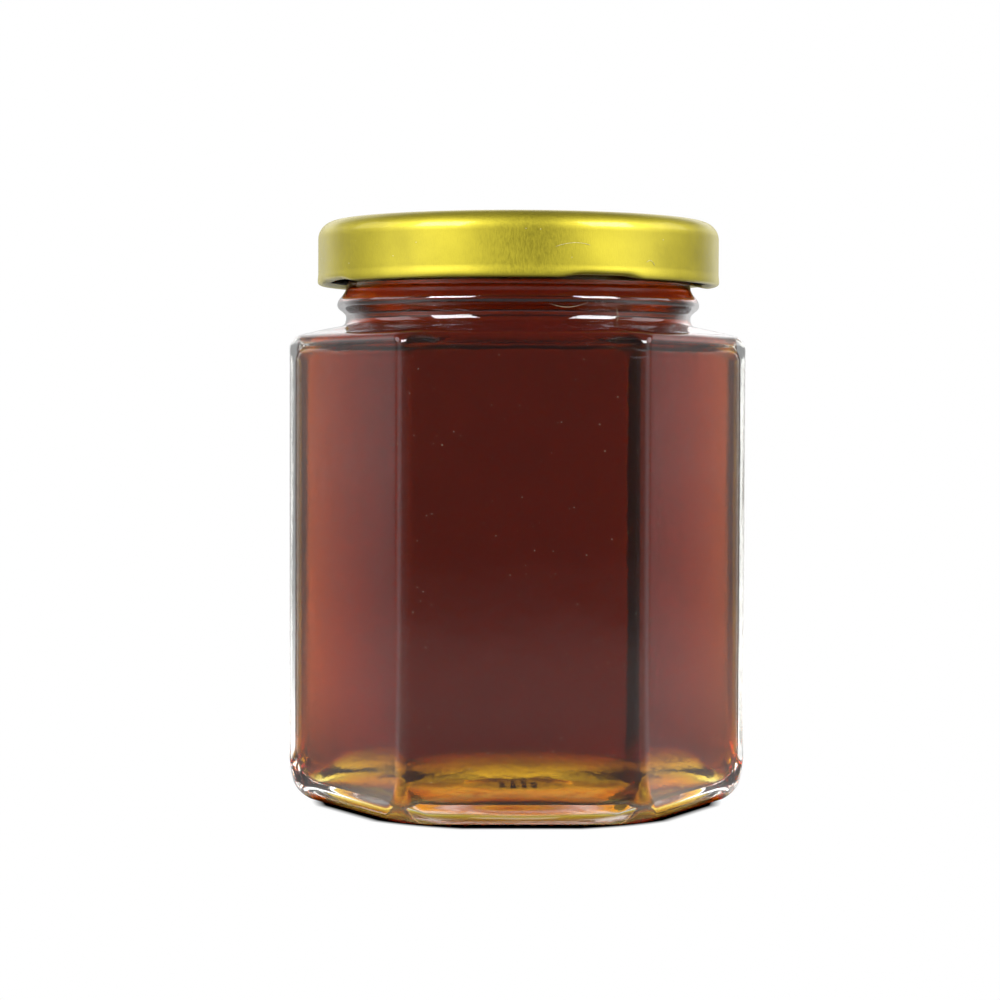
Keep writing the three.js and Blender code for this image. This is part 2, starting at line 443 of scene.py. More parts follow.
def make_row_tree():
    """Rounded nubs evenly along a closed line."""
    size, material, distance = "NodeSocketVector", "NodeSocketMaterial", "NodeSocketFloat"
    tree, given = new_geometry_tree("row_of_nubs", {"Spacing": distance, "Size": size, "Material": material})
    line = add_node(tree, "GeometryNodeMeshToCurve", {"Mesh": given["Geometry"]})
    spacing = {"Curve": line.outputs[0], "Length": given["Spacing"]}
    even = add_node(tree, "GeometryNodeResampleCurve", spacing, mode="LENGTH")
    nub = add_node(tree, "GeometryNodeMeshIcoSphere", {"Radius": 0.5, "Subdivisions": 3})
    places = {"Points": even.outputs[0], "Instance": nub.outputs["Mesh"], "Scale": given["Size"]}
    placed = add_node(tree, "GeometryNodeInstanceOnPoints", places)
    finish_geometry_tree(tree, placed.outputs[0])
    return tree


def make_scatter_tree():
    """Small beads at random over a surface, moved along its normal, of random sizes, in clumps or not."""
    inputs = {name: "NodeSocketFloat" for name in ("Density", "Size", "Rise", "Flatness", "Clumps")}
    inputs |= {"Seed": "NodeSocketInt", "Material": "NodeSocketMaterial"}
    tree, given = new_geometry_tree("scattered_beads", inputs)
    patches = add_node(tree, "ShaderNodeTexNoise", {"Scale": 60.0, "Detail": 1.0})
    crowd = add_range(tree, patches.outputs[0], 0.5, 0.6, 0, 3)
    clumped = add_node(tree, "ShaderNodeMix", {"Factor": given["Clumps"], "A": 1.0, "B": crowd})
    density = add_product(tree, given["Density"], clumped.outputs["Result"])
    surface = {"Mesh": given["Geometry"], "Density": density, "Seed": given["Seed"]}
    spread = add_node(tree, "GeometryNodeDistributePointsOnFaces", surface)
    sizes = {"Min": 0.25, "Max": 1.0, "Seed": given["Seed"]}
    share = add_node(tree, "FunctionNodeRandomValue", sizes, data_type="FLOAT")
    size = add_product(tree, share.outputs["Value"], given["Size"])
    lift = {0: spread.outputs["Normal"], "Scale": add_product(tree, size, given["Rise"])}
    outward = add_node(tree, "ShaderNodeVectorMath", lift, operation="SCALE")
    move = {"Geometry": spread.outputs["Points"], "Offset": outward.outputs[0]}
    moved = add_node(tree, "GeometryNodeSetPosition", move)
    thick = add_product(tree, size, given["Flatness"])
    shape = add_node(tree, "ShaderNodeCombineXYZ", {"X": size, "Y": size, "Z": thick})
    bead = add_node(tree, "GeometryNodeMeshIcoSphere", {"Radius": 0.5, "Subdivisions": 2})
    places = {
        "Points": moved.outputs[0],
        "Instance": bead.outputs["Mesh"],
        "Rotation": spread.outputs["Rotation"],
        "Scale": shape.outputs[0],
    }
    placed = add_node(tree, "GeometryNodeInstanceOnPoints", places)
    finish_geometry_tree(tree, placed.outputs[0])
    return tree


# Helpers for materials


def fill_ramp(ramp, stops):
    """Gives a colour ramp its stops: pairs of a place from 0 to 1 and a grey."""
    elements = ramp.color_ramp.elements
    elements.remove(elements[1])
    for i, (place, grey) in enumerate(stops):
        element = elements[0] if i == 0 else elements.new(place)
        element.position = place
        element.color = (grey, grey, grey, 1)


def new_shader_group(name, inputs, outputs):
    """A shader node group with these vectors as inputs and these numbers as outputs."""
    group = bpy.data.node_groups.new(name, "ShaderNodeTree")
    for label in inputs:
        group.interface.new_socket(label, in_out="INPUT", socket_type="NodeSocketVector")
    for label in outputs:
        group.interface.new_socket(label, in_out="OUTPUT", socket_type="NodeSocketFloat")
    return group, group.nodes.new("NodeGroupInput").outputs


def make_grain_group():
    """Fine grain and broad clouds at a place on a surface, both from 0 to 1."""
    group, given = new_shader_group("grain_and_clouds", ("Place", "Fineness"), ("Grain", "Clouds"))
    fine = add_vector_math(group, "MULTIPLY", given["Place"], given["Fineness"])
    grain = add_node(group, "ShaderNodeTexNoise", {"Vector": fine, "Scale": 1.0, "Detail": 2.0})
    broad = {"Vector": given["Place"], "Scale": 130.0, "Detail": 3.0}
    clouds = add_node(group, "ShaderNodeTexNoise", broad)
    results = {"Grain": grain.outputs[0], "Clouds": clouds.outputs[0]}
    spread = {label: add_range(group, noise_value, 0.3, 0.7) for label, noise_value in results.items()}
    add_node(group, "NodeGroupOutput", spread)
    return group


def new_material(name, fineness):
    """A material, its tree, and the outputs of the shared grain group at this fineness."""
    material = bpy.data.materials.new(name)
    material.use_nodes = True
    tree = material.node_tree
    group = bpy.data.node_groups.get("grain_and_clouds") or make_grain_group()
    where = tree.nodes.new("ShaderNodeTexCoord").outputs["Object"]
    grain = add_node(tree, "ShaderNodeGroup", {}, node_tree=group)
    fill_inputs(tree, grain, {"Place": where, "Fineness": fineness})
    return material, tree, grain.outputs


def finish_material(material, inputs):
    """Gives the Principled shader of a material these inputs."""
    tree = material.node_tree
    fill_inputs(tree, tree.nodes["Principled BSDF"], inputs)


def add_bump(tree, height, distance, normal=None):
    inputs = {"Height": height, "Distance": distance, "Strength": 1.0}
    if normal is not None:
        inputs["Normal"] = normal
    return add_node(tree, "ShaderNodeBump", inputs).outputs["Normal"]


def add_mix(tree, factor, first, second):
    """A colour between two colours."""
    inputs = {"Factor": factor, "A": (*first, 1), "B": (*second, 1)}
    return add_node(tree, "ShaderNodeMix", inputs, data_type="RGBA").outputs["Result"]


def dress(piece, slot, *nodes):
    """Fixes a piece to the body and hides the solids that it stands for. The slot is not used."""
    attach(piece, BODY)
    if nodes:
        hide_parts(*nodes)


# Glass


def underside():
    """Levels from the round mark in the middle of the base out to the ring that the jar stands on."""
    ring_outer = APOTHEM - HEEL_RADIUS
    ring_inner = ring_outer - RING_WIDTH
    mark_floor = PUSH_UP - MARK_DEPTH
    levels = [
        level(0.3 * MARK_RADIUS, mark_floor),
        level(0.7 * MARK_RADIUS, mark_floor),
        level(MARK_RADIUS - MARK_DEPTH, mark_floor),
        level(MARK_RADIUS, PUSH_UP * (1 - (MARK_RADIUS / ring_inner) ** PUSH_UP_POWER)),
    ]
    for part in (0.12, 0.35, 0.65, 0.85, 0.97):
        apothem = lerp(MARK_RADIUS, ring_inner, part)
        corner = lerp(apothem, BASE_CORNER, smoothstep(apothem, MARK_RADIUS, ring_inner))
        levels.append(level(apothem, PUSH_UP * (1 - (apothem / ring_inner) ** PUSH_UP_POWER), corner))
    levels.append(level(ring_inner + 0.3 * MM, 0, BASE_CORNER))
    return levels


def wall_corner_at(z):
    return lerp(BASE_CORNER, WALL_CORNER, min(max(z / BASE_CORNER_HEIGHT, 0), 1))


def outer_wall():
    """Levels from the heel up the flat sides and over the fillet of the shoulder."""
    heel = arc((APOTHEM - HEEL_RADIUS, HEEL_RADIUS), HEEL_RADIUS, -90, 0, 8, wall_corner_at)
    fillet_foot = SHOULDER_HEIGHT - SHOULDER_FILLET
    wall = [
        level(APOTHEM, BASE_CORNER_HEIGHT, WALL_CORNER),
        level(APOTHEM, BASE_CORNER_HEIGHT + 2 * MM, WALL_CORNER),
        level(APOTHEM, fillet_foot - 2 * MM, WALL_CORNER),
    ]

    def corner_at(z):
        return lerp(WALL_CORNER, SHOULDER_CORNER, (z - fillet_foot) / SHOULDER_FILLET)

    centre = (APOTHEM - SHOULDER_FILLET, fillet_foot)
    return [*heel, *wall, *arc(centre, SHOULDER_FILLET, 0, 80, 7, corner_at)]


# Points of the neck's profile in millimetres: how far out from the neck and up from its foot, then
# from the widest place of the bead, and then out from the neck and up from the bead
NECK_BELOW_BEAD = ((0.6, -0.05), (0.25, 0.3), (0.05, 1.1), (0.1, 1.7), (0.6, 2.25))
BEAD = ((-0.2, -0.65), (0, 0), (-0.25, 0.7))
NECK_ABOVE_BEAD = ((0.65, 1.5), (0.15, 2.3), (0, 3.2))


def round_levels(radius, height, offsets):
    return [level(radius + out * MM, height + up * MM) for out, up in offsets]


def shoulder_and_neck():
    """Levels over the shoulder, up the neck with its bead, and over the rim into the mouth."""
    foot = NECK_RADIUS + NECK_BELOW_BEAD[0][0] * MM
    halfway = lerp(APOTHEM - SHOULDER_FILLET, foot, 0.5)
    halfway_corner = lerp(SHOULDER_CORNER, foot, 0.45)
    return [
        level(halfway, lerp(SHOULDER_HEIGHT, NECK_FOOT, 0.5), halfway_corner),
        *round_levels(NECK_RADIUS, NECK_FOOT, NECK_BELOW_BEAD),
        *round_levels(BEAD_RADIUS, BEAD_HEIGHT, BEAD),
        *round_levels(NECK_RADIUS, BEAD_HEIGHT, NECK_ABOVE_BEAD),
        level(NECK_RADIUS, RIM_HEIGHT - RIM_ROUND),
        level(NECK_RADIUS - RIM_ROUND, RIM_HEIGHT),
        level(BORE_RADIUS + RIM_ROUND, RIM_HEIGHT),
        level(BORE_RADIUS, RIM_HEIGHT - RIM_ROUND),
    ]


def inside(glass, reach=0.0):
    """Inside of the jar from the middle of the floor up to the bore, moved into the wall by reach."""
    inner = APOTHEM - glass.wall
    heel_start = inner - INNER_HEEL
    levels = []
    for part in (0.1, 0.25, 0.4, 0.55, 0.7, 0.82, 0.93):
        apothem = heel_start * part
        squareness = smoothstep(apothem, FLOOR_ROUND, heel_start)
        z = lerp(FLOOR_CENTRE, FLOOR_EDGE, part**FLOOR_POWER) - reach
        levels.append(level(apothem, z, lerp(apothem, FLOOR_CORNER, squareness)))

    def heel_corner(z):
        part = min(max((z - FLOOR_EDGE) / INNER_HEEL, 0), 1)
        return lerp(FLOOR_CORNER, glass.inner_corner, part)

    heel_centre = (heel_start, FLOOR_EDGE + INNER_HEEL)
    levels += arc(heel_centre, INNER_HEEL + reach, -90, 0, 7, heel_corner)
    foot = FLOOR_EDGE + INNER_HEEL
    head = INNER_SHOULDER - INNER_FILLET
    for part in (0.05, 0.25, 0.5, 0.75, 0.95):
        levels.append(level(inner + reach, lerp(foot, head, part), glass.inner_corner))
    fillet_centre = (inner - INNER_FILLET, head)
    levels += arc(fillet_centre, INNER_FILLET + reach, 0, 90, 6, lambda z: glass.inner_corner)
    throat_corner = lerp(glass.inner_corner, BORE_RADIUS, 0.55)
    levels += [
        level(BORE_RADIUS + 1.2 * MM + reach, INNER_SHOULDER + 0.45 * MM + reach, throat_corner),
        level(BORE_RADIUS + 0.4 * MM + reach, INNER_SHOULDER + 1.2 * MM),
        level(BORE_RADIUS + reach, INNER_SHOULDER + 2.5 * MM),
    ]
    return levels


def ripple(ring, depth):
    """Wanders the inner surface of the glass in and out, as moulding leaves it."""
    moved = []
    for x, y, z in ring:
        place = Vector((x, y, z)) / (9 * MM)
        push = 1 + depth * noise.noise(place) / (30 * MM)
        lift = depth * noise.noise(place * 1.3 + Vector((7, 3, 1)))
        moved.append((x * push, y * push, z + lift))
    return moved


def make_glass_material(glass, name, mirror, film=0.0):
    """Clear glass. Where honey wets it, there is next to no mirror reflection at its surface."""
    material, tree, grain = new_material(name, GLASS_GRAIN)
    waves = add_bump(tree, grain["Clouds"], 0.02 * MM)
    look = {
        "Transmission Weight": 1 - film,
        "Roughness": 0.0,
        "IOR": glass.ior,
        "Specular Tint": (mirror, mirror, mirror, 1),
        "Base Color": add_mix(tree, grain["Clouds"], (0.965, 0.985, 0.97), (0.99, 1, 0.99)),
        "Normal": add_bump(tree, grain["Grain"], glass.pitting, waves),
    }
    finish_material(material, look)
    return material


class HONEYJAR_OT_glass(bpy.types.Operator):
    """Makes the glass jar, hollow, with its neck bead and its pushed-up base"""

    bl_idname = "honey_jar.glass"
    bl_label = "Glass jar"

    def execute(self, context):
        glass = context.scene.honey_jar_glass
        outer = curve_through([*underside(), *outer_wall(), *shoulder_and_neck()], LEVEL_STEPS)
        outer = [level(apothem, max(z, NUB_DEPTH), corner) for apothem, z, corner in outer]
        inner = curve_through(inside(glass), LEVEL_STEPS)
        bore = [level(BORE_RADIUS, lerp(RIM_HEIGHT - RIM_ROUND, inner[-1][1], p)) for p in (0.15, 0.4, 0.7)]
        rings = [hexagon_ring(one) for one in [*outer, *bore]]
        rings += [ripple(hexagon_ring(one), glass.wave) for one in reversed(inner)]
        top = (0, 0, FLOOR_CENTRE)
        piece = body_from_rings("glass_jar", rings, (0, 0, PUSH_UP - MARK_DEPTH), top)
        piece.data.materials.append(make_glass_material(glass, "clear_glass", 1.0, glass.film))
        piece.data.materials.append(make_glass_material(glass, "wet_glass", 0.0))
        first_inner = 1 + (len(outer) + len(bore) - 1) * len(rings[0])
        for face in piece.data.polygons:
            face.material_index = int(min(face.vertices) >= first_inner)
        dress(piece, "glass", "jar")
        return {"FINISHED"}


def make_honey_material(honey):
    """Honey that darkens with depth and is a little hazy, with faint streaks at its surface."""
    material, tree, grain = new_material("dark_honey", HONEY_GRAIN)
    streaks = add_product(tree, grain["Grain"], grain["Clouds"])
    look = {
        "Transmission Weight": 1,
        "Roughness": 0.0,
        "IOR": honey.ior,
        "Specular Tint": (0, 0, 0, 1),
        "Base Color": add_mix(tree, streaks, (0.94, 0.92, 0.9), (1, 1, 1)),
    }
    finish_material(material, look)
    depth = {"Color": (*honey.colour, 1), "Density": honey.density}
    crystals = {"Color": (1, 0.7, 0.6, 1), "Density": honey.haze, "Anisotropy": 0.5}
    dark = add_node(tree, "ShaderNodeVolumeAbsorption", depth)
    haze = add_node(tree, "ShaderNodeVolumeScatter", crystals)
    both = add_node(tree, "ShaderNodeAddShader", {0: dark.outputs["Volume"], 1: haze.outputs["Volume"]})
    fill_inputs(tree, tree.nodes["Material Output"], {"Volume": both.outputs["Shader"]})
    return material


class HONEYJAR_OT_honey(bpy.types.Operator):
    """Makes the honey, which fills the jar up into the neck and reaches just into the wall"""

    bl_idname = "honey_jar.honey"
    bl_label = "Honey"

    def execute(self, context):
        glass = context.scene.honey_jar_glass
        honey = context.scene.honey_jar_honey
        levels = curve_through(inside(glass, honey.reach), LEVEL_STEPS)
        rings = [ripple(hexagon_ring(one), glass.wave) for one in levels]
        radius = BORE_RADIUS + honey.reach
        rings += [hexagon_ring(level(radius, lerp(levels[-1][1], HONEY_TOP, p))) for p in (0.3, 0.7, 1)]
        rings.append(hexagon_ring(level(0.5 * radius, HONEY_TOP)))
        low_pole = (0, 0, FLOOR_CENTRE - honey.reach)
        piece = body_from_rings("honey_fill", rings, low_pole, (0, 0, HONEY_TOP))
        piece.data.materials.append(make_honey_material(honey))
        dress(piece, "honey", "honey")
        return {"FINISHED"}


# Lid


def lid_point(radius, z, pull=0.0, lift=0.0):
    """A point of the lid's profile. It moves in by pull and up by lift where a lug is."""
    return np.array([radius, z, pull, lift])


def lid_arc(centre, radius, start, end, steps):
    """Points of the lid's profile along part of a circle. Angles are in degrees."""
    angles = [math.radians(lerp(start, end, i / steps)) for i in range(steps + 1)]
    return [lid_point(centre[0] + radius * math.cos(a), centre[1] + radius * math.sin(a)) for a in angles]


def lid_profile(lid):
    """From the middle of the ceiling out, down and round the rolled edge, and up to the top panel."""
    skirt = LID_RADIUS - SHEET
    corner = LID_ROUND - SHEET
    inner = LID_RADIUS - CURL_DEPTH
    top = CURL_BOTTOM + CURL_HEIGHT
    middle = CURL_BOTTOM + CURL_HEIGHT * 0.45
    pull, lift = lid.lug_pull, lid.lug_lift
    inside_points = [
        lid_point(0.5 * BORE_RADIUS, CEILING - CEILING_STEP),
        lid_point(BORE_RADIUS - 0.9 * MM, CEILING - CEILING_STEP),
        lid_point(BORE_RADIUS - 0.4 * MM, CEILING),
        lid_point(skirt - corner - 0.6 * MM, CEILING),
        *lid_arc((skirt - corner, LID_TOP - LID_ROUND), corner, 48, 0, 4),
    ]
    curl = [
        lid_point(LID_RADIUS - SHEET, top + 0.35 * MM, 0.1 * MM, 0.2 * MM),
        lid_point(inner + 0.45 * MM, top, pull, lift),
        lid_point(inner, middle + 0.35 * MM, pull, lift),
        lid_point(inner, middle - 0.35 * MM, pull, lift),
        lid_point(inner + 0.45 * MM, CURL_BOTTOM + 0.06 * MM, pull * 0.8, lift),
        lid_point(LID_RADIUS - 0.35 * MM, CURL_BOTTOM + 0.02 * MM, 0.3 * MM, lift),
        lid_point(LID_RADIUS, CURL_BOTTOM + 0.25 * MM, 0.15 * MM, lift),
        lid_point(LID_RADIUS + 0.08 * MM, middle - 0.1 * MM, 0.05 * MM, lift * 0.6),
        lid_point(LID_RADIUS, top),
    ]
    outside = [
        lid_point(LID_RADIUS, lerp(top, LID_TOP - LID_ROUND, 0.1)),
        lid_point(LID_RADIUS, lerp(top, LID_TOP - LID_ROUND, 0.9)),
        *lid_arc((LID_RADIUS - LID_ROUND, LID_TOP - LID_ROUND), LID_ROUND, 0, 90, 8),
        lid_point(PANEL_RADIUS + 0.8 * MM, LID_TOP),
        lid_point(PANEL_RADIUS, LID_TOP - PANEL_DROP),
        lid_point(PANEL_RADIUS - 0.8 * MM, LID_TOP - PANEL_DROP),
        lid_point(0.5 * PANEL_RADIUS, LID_TOP - PANEL_DROP),
    ]
    return curve_through([*inside_points, *curl, *outside], LID_STEPS)


# Rings on the inside of the lid, down to the inner side of its rolled edge
INNER_LID_RINGS = 12 * LID_STEPS


def lug_share(azimuth):
    """One at the middle of each lug, falling to nothing at its ends."""
    spacing = 2 * math.pi / LUGS
    from_lug = azimuth - LUG_AZIMUTH
    away = abs(from_lug - spacing * round(from_lug / spacing))
    return 1 - smoothstep(away, LUG_HALF_WIDTH * 0.45, LUG_HALF_WIDTH)


def lid_ring(point):
    radius, z, pull, lift = point
    ring = []
    for i in range(LID_COLUMNS):
        azimuth = 2 * math.pi * i / LID_COLUMNS
        share = lug_share(azimuth)
        reach = radius - pull * share
        ring.append((reach * math.sin(azimuth), -reach * math.cos(azimuth), z + lift * share))
    return ring


def make_gold_material(lid):
    """Satin gold lacquer, its colour and roughness clouded by upright grain."""
    material, tree, grain = new_material("gold_lacquer", GOLD_GRAIN)
    both = add_math(tree, "MULTIPLY_ADD", grain["Grain"], 0.6, grain["Clouds"])
    dark = tuple(0.76 * part for part in lid.colour)
    look = {
        "Metallic": 1,
        "Coat Weight": lid.coat,
        "Coat Roughness": 0.12,
        "Base Color": add_mix(tree, add_range(tree, both, 0.2, 1.4), dark, tuple(lid.colour)),
        "Roughness": add_range(tree, grain["Grain"], 0, 1, lid.roughness - 0.06, lid.roughness + 0.06),
        "Normal": add_bump(tree, grain["Grain"], 0.006 * MM),
    }
    finish_material(material, look)
    return material


def make_lacquer_in_painted_shade():
    """The lacquer on the inside of the lid, painted near black as painted shade for the shade under the lid.
    """
    material, tree, grain = new_material("inner_lacquer_painted_shade", LACQUER_GRAIN)
    look = {
        "Roughness": 0.5,
        "Base Color": add_mix(tree, grain["Grain"], (0.035, 0.028, 0.012), (0.07, 0.058, 0.026)),
        "Normal": add_bump(tree, grain["Grain"], 0.004 * MM),
    }
    finish_material(material, look)
    return material


class HONEYJAR_OT_lid(bpy.types.Operator):
    """Makes the pressed gold lid with its rolled edge and lugs"""

    bl_idname = "honey_jar.lid"
    bl_label = "Lid"

    def execute(self, context):
        lid = context.scene.honey_jar_lid
        rings = [lid_ring(point) for point in lid_profile(lid)]
        low_pole = (0, 0, CEILING - CEILING_STEP)
        piece = body_from_rings("gold_lid", rings, low_pole, (0, 0, LID_TOP - PANEL_DROP))
        piece.data.materials.append(make_gold_material(lid))
        # The inside of the lid takes lacquer painted dark as painted shade
        piece.data.materials.append(make_lacquer_in_painted_shade())
        first_outer = 1 + INNER_LID_RINGS * LID_COLUMNS
        for face in piece.data.polygons:
            face.material_index = int(max(face.vertices) < first_outer)
        dress(piece, "gold_tinplate", "lid")
        return {"FINISHED"}


# Marks of the mould


def box(centre, size):
    """Points and faces of a block with chamfered edges on its lower side."""
    half = [0.5 * one for one in size]
    points = []
    for part, z in ((0.78, -1), (1, -0.5), (1, 1)):
        for dx, dy in ((-1, -1), (1, -1), (1, 1), (-1, 1)):
            points.append(tuple(c + d * h for c, d, h in zip(centre, (dx * part, dy * part, z), half)))
    faces = [(3, 2, 1, 0), (8, 9, 10, 11)]
    for k in (0, 4):
        for i in range(4):
            j = (i + 1) % 4
            faces.append((k + i, k + j, k + 4 + j, k + 4 + i))
    return points, faces


# Bars and pips of the base mark: middle and size in millimetres
MARK_BLOCKS = (
    (-2.6, 0, 0.9, 7.5),
    (-0.9, 0, 0.9, 10.0),
    (0.9, 0, 0.9, 10.0),
    (2.6, 0, 0.9, 7.5),
    (0, 2.2, 6.6, 0.9),
    (0, -2.2, 6.6, 0.9),
    (-4.6, 0, 1.0, 1.0),
    (4.6, 0, 1.0, 1.0),
    (-6.4, 0, 1.0, 1.0),
    (6.4, 0, 1.0, 1.0),
)


class HONEYJAR_OT_marks(bpy.types.Operator):
    """Makes the nubs under the rim of the base and the bars and pips in the middle of it"""

    bl_idname = "honey_jar.marks"
    bl_label = "Mould marks"

    def execute(self, context):
        glass = context.scene.honey_jar_glass
        marks = context.scene.honey_jar_marks
        material = make_glass_material(glass, "moulded_glass", 1.0)
        ring = hexagon_ring(level(NUB_APOTHEM, NUB_DEPTH, BASE_CORNER))
        edges = [(i, (i + 1) % len(ring)) for i in range(len(ring))]
        nubs = new_piece("base_nubs", ring, [], edges)
        size = (marks.nub_width, marks.nub_width, 2 * NUB_DEPTH)
        grow(nubs, make_row_tree(), {"Spacing": marks.nub_spacing, "Size": size, "Material": material})
        dress(nubs, "glass")
        pad = PUSH_UP - MARK_DEPTH
        middle = pad - 0.5 * marks.bar_height + 0.02 * MM
        blocks = [
            box((x * MM, y * MM, middle), (width * MM, length * MM, marks.bar_height))
            for x, y, width, length in MARK_BLOCKS
        ]
        bars = joined("base_mark", blocks)
        bars.data.materials.append(material)
        dress(bars, "glass")
        return {"FINISHED"}


# Bubbles, dust and fibres


class HONEYJAR_OT_bubbles(bpy.types.Operator):
    """Makes the small air bubbles that stay in the honey under the shoulder"""

    bl_idname = "honey_jar.bubbles"
    bl_label = "Bubbles"

    def execute(self, context):
        glass = context.scene.honey_jar_glass
        traces = context.scene.honey_jar_traces
        inner = APOTHEM - glass.wall
        centre = (inner - INNER_FILLET, INNER_SHOULDER - INNER_FILLET)
        under_shoulder = arc(centre, INNER_FILLET, 30, 82, 6, lambda z: glass.inner_corner)
        bubbles = strip_of("air_bubbles", under_shoulder)
        material, tree, grain = new_material("bubble_skin", BUBBLE_GRAIN)
        look = {
            "Transmission Weight": 1,
            "Roughness": 0.0,
            "IOR": 1.4,
            "Base Color": add_mix(tree, grain["Grain"], (0.95, 0.9, 0.8), (1, 1, 1)),
        }
        finish_material(material, look)
        values = {
            "Density": traces.bubbles * PER_SQUARE_CM,
            "Size": traces.bubble_size,
            "Rise": -0.9,
            "Flatness": 1.0,
            "Clumps": 1.0,
            "Seed": traces.seed,
            "Material": material,
        }
        grow(bubbles, make_scatter_tree(), values)
        dress(bubbles, "honey")
        return {"FINISHED"}


def on_lid(azimuth, z):
    """A point on the skirt of the lid. The azimuth is in degrees from the front, to the right."""
    angle = math.radians(azimuth)
    return Vector((LID_RADIUS * math.sin(angle), -LID_RADIUS * math.cos(angle), z * MM))


def fibre_between(start, middle, end, steps=14):
    """A bent line of points, lifted a little off the surface half-way."""
    line = []
    for i in range(steps + 1):
        part = i / steps
        point = (1 - part) ** 2 * start + 2 * part * (1 - part) * middle + part**2 * end
        line.append(tuple(point))
    return line


def make_dust_material():
    material, tree, grain = new_material("pale_dust", DUST_GRAIN)
    tint = add_mix(tree, grain["Grain"], (0.2, 0.17, 0.08), (0.6, 0.56, 0.36))
    finish_material(material, {"Base Color": tint, "Roughness": 0.8})
    return material


# Fibres on the lid and the neck: radius of the surface, then azimuth and height of three points
FIBRES = (
    (33.2, (8.5, 90.1), (13.5, 91.2), (18, 90.4)),
    (33.2, (35.5, 88.0), (37.2, 88.9), (38.4, 87.6)),
    (29.4, (8, 81.6), (14, 80.2), (20, 81.9)),
    (28.95, (30.5, 81.0), (31.8, 79.7), (30.8, 78.9)),
)
FIBRE_RADIUS = 0.03 * MM


class HONEYJAR_OT_dust(bpy.types.Operator):
    """Makes the specks of dust on the lid and the glass, and the few fibres on the lid and the neck"""

    bl_idname = "honey_jar.dust"
    bl_label = "Dust and fibres"

    def execute(self, context):
        traces = context.scene.honey_jar_traces
        material = make_dust_material()
        skirt_top = LID_TOP - LID_ROUND
        heights = [lerp(CURL_BOTTOM + CURL_HEIGHT + 0.5 * MM, skirt_top, k / 4) for k in range(5)]
        outline = [level(LID_RADIUS, z) for z in heights]
        outline += [
            level(LID_RADIUS - LID_ROUND + LID_ROUND * math.cos(a), skirt_top + LID_ROUND * math.sin(a))
            for a in (0.4, 0.8, 1.2, 1.5)
        ]
        specks = strip_of("dust_specks", outline)
        values = {
            "Density": traces.dust * PER_SQUARE_CM,
            "Size": traces.speck_size,
            "Rise": 0.05,
            "Flatness": 0.35,
            "Clumps": 0.0,
            "Seed": traces.seed + 1,
            "Material": material,
        }
        tree = make_scatter_tree()
        grow(specks, tree, values)
        dress(specks, "gold_tinplate")
        heights = [lerp(BASE_CORNER_HEIGHT, SHOULDER_HEIGHT - SHOULDER_FILLET, k / 8) for k in range(9)]
        on_glass = strip_of("glass_specks", [level(APOTHEM, z, WALL_CORNER) for z in heights])
        values |= {"Density": traces.glass_dust * PER_SQUARE_CM, "Size": 0.8 * traces.speck_size}
        grow(on_glass, tree, values)
        dress(on_glass, "glass")
        parts = []
        for radius, *places in FIBRES:
            scale = radius * MM / LID_RADIUS
            ends = [on_lid(azimuth, z) for azimuth, z in places]
            ends = [Vector((point.x * scale, point.y * scale, point.z)) for point in ends]
            parts.append(tube(fibre_between(*ends), FIBRE_RADIUS))
        fibres = joined("loose_fibres", parts)
        fibres.data.materials.append(material)
        dress(fibres, "gold_tinplate")
        return {"FINISHED"}


# Studio

CAMERA_DISTANCE = 440.8 * MM
CAMERA_HEIGHT = 65.0 * MM
CAMERA_AZIMUTH = math.radians(-1.518)
CAMERA_HEADING = math.radians(-1.138)
CAMERA_TILT = math.radians(1.953)
CAMERA_ROLL = math.radians(0.186)
FOCAL_PIXELS = 2648.6
IMAGE_PIXELS = 1000
SENSOR = 36.0


def make_camera():
    data = bpy.data.cameras.new("camera")
    data.sensor_width = SENSOR
    data.lens = SENSOR * FOCAL_PIXELS / IMAGE_PIXELS
    data.clip_start = 10 * MM
    camera = add_to_scene("camera", data)
    place = Vector((math.sin(CAMERA_AZIMUTH), -math.cos(CAMERA_AZIMUTH), 0)) * CAMERA_DISTANCE
    place.z = CAMERA_HEIGHT
    aim = Matrix.Rotation(CAMERA_HEADING, 4, "Z")
    pitch = Matrix.Rotation(math.pi / 2 - CAMERA_TILT, 4, "X")
    roll = Matrix.Rotation(CAMERA_ROLL, 4, "Z")
    camera.matrix_world = Matrix.Translation(place) @ aim @ pitch @ roll
    bpy.context.scene.camera = camera


# Softboxes: azimuth from the front and width, both in degrees, and share of the full brightness
SOFTBOXES = {
    "softbox_left": (-47, 32, 1.0),
    "softbox_right": (53, 31, 1.0),
    "fill_left": (-96, 34, 0.13),
    "fill_right": (98, 34, 0.13),
}
SOFTBOX_DISTANCE = 1200 * MM
SOFTBOX_ELEVATION = math.radians(28)
SOFTBOX_HEIGHT = math.radians(24)
SOFTBOX_AIM = 80 * MM


def make_softbox(name, azimuth, spread, brightness):
    """A softbox, its azimuth from the front and its angular width given in degrees."""
    flat = SOFTBOX_DISTANCE * math.cos(SOFTBOX_ELEVATION)
    rise = SOFTBOX_DISTANCE * math.sin(SOFTBOX_ELEVATION)
    angle = math.radians(azimuth)
    offset = Vector((flat * math.sin(angle), -flat * math.cos(angle), rise))
    data = bpy.data.lights.new(name, "AREA")
    data.shape = "RECTANGLE"
    data.size = 2 * flat * math.tan(math.radians(spread) / 2)
    data.size_y = 2 * SOFTBOX_DISTANCE * math.tan(SOFTBOX_HEIGHT / 2)
    data.energy = brightness * data.size * data.size_y * math.pi
    light = add_to_scene(name, data)
    light.location = Vector((0, 0, SOFTBOX_AIM)) + offset
    light.rotation_euler = (-offset).to_track_quat("-Z", "Y").to_euler()


